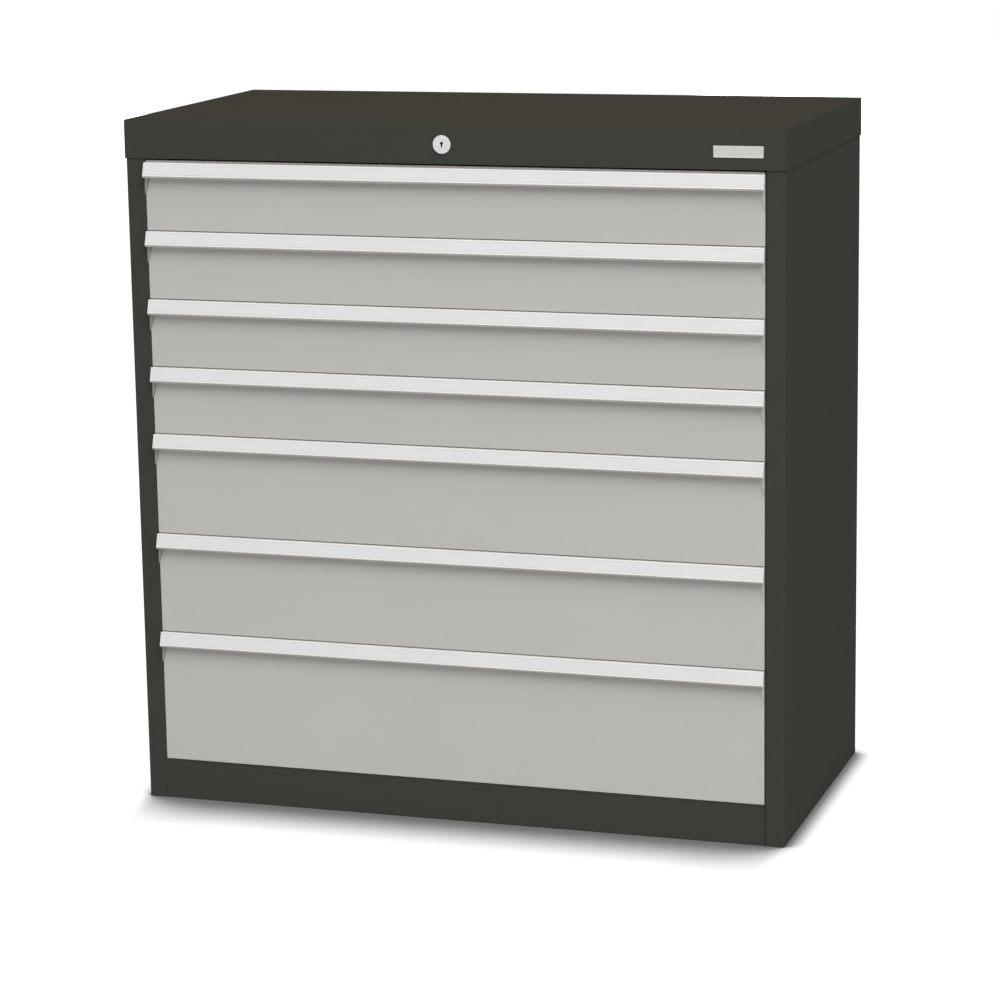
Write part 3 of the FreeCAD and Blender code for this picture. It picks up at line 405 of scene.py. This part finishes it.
for entry in frame["record"]["subparts"]:
    for material_slot in frame["nodes"][entry["node"]].material_slots:
        material_slot.material = finishes[entry["material_slot"]]


# ------------------------------------------------------------------ mesh helpers
def mesh_piece(name, points, faces, material, body):
    mesh = bpy.data.meshes.new(name)
    mesh.from_pydata([tuple(p) for p in points], [], faces)
    work = bmesh.new()
    work.from_mesh(mesh)
    bmesh.ops.recalc_face_normals(work, faces=work.faces)
    work.to_mesh(mesh)
    work.free()
    mesh.materials.append(material)
    piece = bpy.data.objects.new(name, mesh)
    scene.collection.objects.link(piece)
    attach(piece, body)


def arc(middle, radius, start, end, steps):
    """Points on an arc in a plane, from one angle to another in degrees."""
    points = []
    for i in range(steps + 1):
        angle = math.radians(start + (end - start) * i / steps)
        points.append((middle[0] + radius * math.cos(angle), middle[1] + radius * math.sin(angle)))
    return points


def rounded_outline(width, height, radius):
    """Corner points of an upright rounded rectangle round the origin, anticlockwise."""
    points = []
    for sx, sz, start in ((1, 1, 0), (-1, 1, 90), (-1, -1, 180), (1, -1, 270)):
        middle = (sx * (width / 2 - radius), sz * (height / 2 - radius))
        points += arc(middle, radius, start, start + 90, steps=5)
    return points


def rounded_plate(name, width, height, radius, layers, place, tilt, material, body):
    """A rounded plate built from rings: each layer is (inset, outward height)."""
    points, faces, rings = [], [], []
    lean = Matrix.Rotation(tilt, 4, "X")
    for inset, rise in layers:
        corner = max(radius - inset, 0.2 * MM)
        ring = []
        for x, z in rounded_outline(width - 2 * inset, height - 2 * inset, corner):
            ring.append(len(points))
            points.append(Vector(place) + lean @ Vector((x, -rise, z)))
        rings.append(ring)
    for a, b in zip(rings, rings[1:]):
        for i in range(len(a)):
            j = (i + 1) % len(a)
            faces.append((a[i], a[j], b[j], b[i]))
    faces.append(tuple(reversed(rings[0])))
    faces.append(tuple(rings[-1]))
    mesh_piece(name, points, faces, material, body)


def straight_strip(name, outline, half_length, material, body):
    """A strip along X whose section is an outline of (y, z) points."""
    points = [(x, y, z) for x in (-half_length, half_length) for y, z in outline]
    count = len(outline)
    faces = [tuple(range(count)), tuple(range(count, 2 * count))]
    for i in range(count):
        j = (i + 1) % count
        faces.append((i, j, count + j, count + i))
    mesh_piece(name, points, faces, material, body)


# ------------------------------------------------------------------ pieces of the visual model
GRIP_FACE = 19.0 * MM
GRIP_TOP_REACH = 5.0 * MM            # how far the grip's face stands out, at its upper edge
GRIP_LOW_REACH = 11.0 * MM           # and at its lower edge
LABEL_HALF = 458.3 * MM
LABEL_HEIGHT = 15.6 * MM
LABEL_CORNER = 0.8 * MM
LABEL_RECESS = 0.6 * MM
LABEL_LAYERS = (
    (0.0, 0.02 * MM),
    (0.0, 0.30 * MM),
    (0.15 * MM, 0.42 * MM),
    (0.9 * MM, 0.42 * MM),
    (1.1 * MM, 0.34 * MM),
)

SEAL_HALF = 458.4 * MM
SEAL_DEPTH = 3.0 * MM
SEAL_HEIGHT = 3.4 * MM
SEAL_SET_BACK = 0.5 * MM

SILL_HALF = 459.8 * MM
SILL_DEPTH = 2.4 * MM
SILL_HEIGHT = 2.4 * MM
SILL_SET_BACK = 0.3 * MM
SILL_ROUND = 0.8 * MM

PLATE_PLACE = (422.3 * MM, -245.1 * MM, 987.8 * MM)
PLATE_WIDTH = 70.6 * MM
PLATE_HEIGHT = 16.2 * MM
PLATE_CORNER = 1.2 * MM
PLATE_LAYERS = (
    (0.0, 0.0),
    (0.0, 0.5 * MM),
    (0.35 * MM, 0.8 * MM),
    (1.0 * MM, 0.8 * MM),
    (1.25 * MM, 0.62 * MM),
)


def label_strip(drawer):
    """The blank card in the recess of a grip's sloping face, with a thin rolled border."""
    grip_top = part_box("drawer_%d_grip" % drawer)[1].z
    slope = math.atan2(GRIP_LOW_REACH - GRIP_TOP_REACH, GRIP_FACE)
    middle_y = FACE - (GRIP_TOP_REACH + GRIP_LOW_REACH) / 2
    middle_z = grip_top - GRIP_FACE / 2
    place = (
        0.0,
        middle_y + LABEL_RECESS * math.cos(slope),
        middle_z + LABEL_RECESS * math.sin(slope),
    )
    rounded_plate(
        "drawer_%d_label" % drawer, 2 * LABEL_HALF, LABEL_HEIGHT, LABEL_CORNER, LABEL_LAYERS,
        place, -slope, card_finish, "drawer_%d" % drawer,
    )


def top_seal():
    """The soft grey strip on the top drawer's upper edge, which closes its gap to the cover."""
    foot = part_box("drawer_1_panel")[1].z
    front = FACE + SEAL_SET_BACK
    radius = SEAL_DEPTH / 2
    outline = [(front, foot), (front + SEAL_DEPTH, foot)]
    outline += arc((front + radius, foot + SEAL_HEIGHT - radius), radius, 0, 180, steps=6)
    straight_strip("drawer_1_top_seal", outline, SEAL_HALF, felt_finish, "drawer_1")


def plinth_sill():
    """The low painted lip on the plinth that closes its gap to the lowest drawer's panel."""
    front = FACE + SILL_SET_BACK
    back = front + SILL_DEPTH
    top = PLINTH_TOP + SILL_HEIGHT
    outline = [(front, PLINTH_TOP), (back, PLINTH_TOP), (back, top)]
    outline += arc((front + SILL_ROUND, top - SILL_ROUND), SILL_ROUND, 90, 180, steps=4)
    paint = finishes["housing_paint"]
    straight_strip("plinth_sill", outline, SILL_HALF, paint, "root")


for number in range(1, DRAWERS + 1):
    label_strip(number)
top_seal()
plinth_sill()
rounded_plate(
    "cover_plate", PLATE_WIDTH, PLATE_HEIGHT, PLATE_CORNER, PLATE_LAYERS, PLATE_PLACE, 0.0,
    plate_finish, "root",
)


# ------------------------------------------------------------------ studio
WORLD_LIGHT = 0.14           # the world's strength as a light; it is seen at 1, which is white
FLOOR_HALF = 30.0
FLOOR_BOUNCE = 0.80          # the floor's grey as a light
FLOOR_DIFFUSE = 0.2          # the floor's grey where it is seen
FLOOR_GLOW = 0.965           # added to that, so that open floor is white

# The contact shade on the floor: how far it reaches out from the object, and how dark it is.
SHADE_BEFORE = 0.182         # its reach in front of the middle
SHADE_AT_ENDS = 0.23         # in front of the two ends
SHADE_BESIDE = 0.04          # beside and behind
ENDS_FROM = 0.7 * BODY_HALF  # where the reach in front starts to grow towards the ends
FRONT_BLEND = 0.03           # how far behind the face the reach in front is gone
SIDE_IN, SIDE_OUT = 0.02, 0.01   # it is whole up to here inside the sides, and gone out here
SHADE_DARKEST = 0.13         # what is left of the floor's white where the shade is darkest
OCCLUSION_DARK = 0.5         # the ambient occlusion there
OCCLUSION_OPEN = 1.02        # where the shade ends: just over open floor's 1, for a soft edge
LEFT_LIFT = 0.45             # how much lighter the shade is beyond the left side
LEFT_BLEND = 0.01
UNDER_BLEND = 0.02           # how far inside the footprint the floor is painted black as shade under the object


def area_light(name, place, target, width, height, power):
    data = bpy.data.lights.new(name, "AREA")
    data.shape = "RECTANGLE"
    data.size = width
    data.size_y = height
    data.energy = power
    light = bpy.data.objects.new(name, data)
    light.location = place
    light.rotation_euler = (Vector(target) - Vector(place)).to_track_quat("-Z", "Y").to_euler()
    scene.collection.objects.link(light)


def seen_rays(nodes):
    """1 for what the camera, a mirror or glass looks at, 0 for what lights the object."""
    path = nodes.add("ShaderNodeLightPath")
    seen = nodes.math("MAXIMUM", path.outputs["Is Camera Ray"], path.outputs["Is Glossy Ray"])
    return nodes.math("MAXIMUM", seen, path.outputs["Is Transmission Ray"])


def make_world():
    world = bpy.data.worlds.new("studio")
    world.use_nodes = True
    nodes = Nodes(world.node_tree)
    strength = nodes.span(seen_rays(nodes), 0.0, 1.0, WORLD_LIGHT, 1.0)
    back = nodes.add("ShaderNodeBackground", {"Color": WHITE, "Strength": strength})
    nodes.add("ShaderNodeOutputWorld", {"Surface": back.outputs["Background"]})
    scene.world = world


def floor_share(nodes, place):
    """How much of the floor's white is left: 1 in the open, less in the contact shade, and 0
    under the object, so that no lit floor shows through its seams."""
    across = nodes.axis(place, "X")
    along = nodes.axis(place, "Y")
    off_middle = nodes.math("ABSOLUTE", across)
    before = nodes.span(along, FACE + FRONT_BLEND, FACE, 0.0, 1.0)
    between = nodes.span(off_middle, BODY_HALF + SIDE_OUT, BODY_HALF - SIDE_IN, 0.0, 1.0)
    in_front = nodes.span(off_middle, ENDS_FROM, BODY_HALF, SHADE_BEFORE, SHADE_AT_ENDS)
    at_front = nodes.math("MULTIPLY", before, between)
    reach = nodes.span(at_front, 0.0, 1.0, SHADE_BESIDE, in_front)
    near = nodes.add("ShaderNodeAmbientOcclusion", {"Distance": reach}, samples=16).outputs["AO"]
    shaded = nodes.span(near, OCCLUSION_DARK, OCCLUSION_OPEN, SHADE_DARKEST, 1.0, "SMOOTHSTEP")
    lift = nodes.span(across, -BODY_HALF, -BODY_HALF - LEFT_BLEND, 0.0, LEFT_LIFT)
    lifted = nodes.span(lift, 0.0, 1.0, shaded, 1.0)
    in_width = nodes.span(off_middle, BODY_HALF, BODY_HALF - UNDER_BLEND, 0.0, 1.0)
    off_centre = nodes.math("ABSOLUTE", along)
    in_depth = nodes.span(off_centre, -FACE, -FACE - UNDER_BLEND, 0.0, 1.0)
    under = nodes.math("MULTIPLY", in_width, in_depth)
    return nodes.math("MULTIPLY", lifted, nodes.math("SUBTRACT", 1.0, under))


def make_floor():
    """A wide pale floor that reads white, and keeps the object's shadow next to it."""
    low, high = -FLOOR_HALF, FLOOR_HALF
    mesh = bpy.data.meshes.new("floor")
    corners = [(low, low, 0), (high, low, 0), (high, high, 0), (low, high, 0)]
    mesh.from_pydata(corners, [], [(0, 1, 2, 3)])
    material = bpy.data.materials.new("floor")
    material.use_nodes = True
    nodes = Nodes(material.node_tree)
    seen = seen_rays(nodes)
    share = floor_share(nodes, nodes.add("ShaderNodeTexCoord").outputs["Object"])
    shown = nodes.add("ShaderNodeCombineColor", {
        "Red": share, "Green": share, "Blue": share,
    }).outputs["Color"]
    dimmed = nodes.mix(1.0 - FLOOR_DIFFUSE, shown, BLACK)
    colour = nodes.mix(seen, shade(WHITE, FLOOR_BOUNCE), dimmed)
    diffuse = nodes.add("ShaderNodeBsdfDiffuse", {"Color": colour})
    strength = nodes.math("MULTIPLY", seen, FLOOR_GLOW)
    glow = nodes.add("ShaderNodeEmission", {"Color": shown, "Strength": strength})
    total = nodes.add("ShaderNodeAddShader")
    nodes.put(total.inputs[0], diffuse.outputs["BSDF"])
    nodes.put(total.inputs[1], glow.outputs["Emission"])
    nodes.add("ShaderNodeOutputMaterial", {"Surface": total.outputs["Shader"]})
    mesh.materials.append(material)
    floor = bpy.data.objects.new("floor", mesh)
    scene.collection.objects.link(floor)


make_camera()
make_world()
make_floor()
# The key stands high above and behind the camera. The strip behind the object is wholly lower
# than its top, so that it brightens the back and the left side but not the top.
area_light(
    "key", place=(3.8, -6.2, 11.6), target=(0.0, -0.1, 0.5), width=12.6, height=8.8, power=2235.0,
)
area_light(
    "low_back", place=(-5.6, 9.8, 0.5), target=(0.0, 0.1, 0.5), width=10.0, height=0.9, power=900.0,
)
scene.view_settings.view_transform = "Standard"
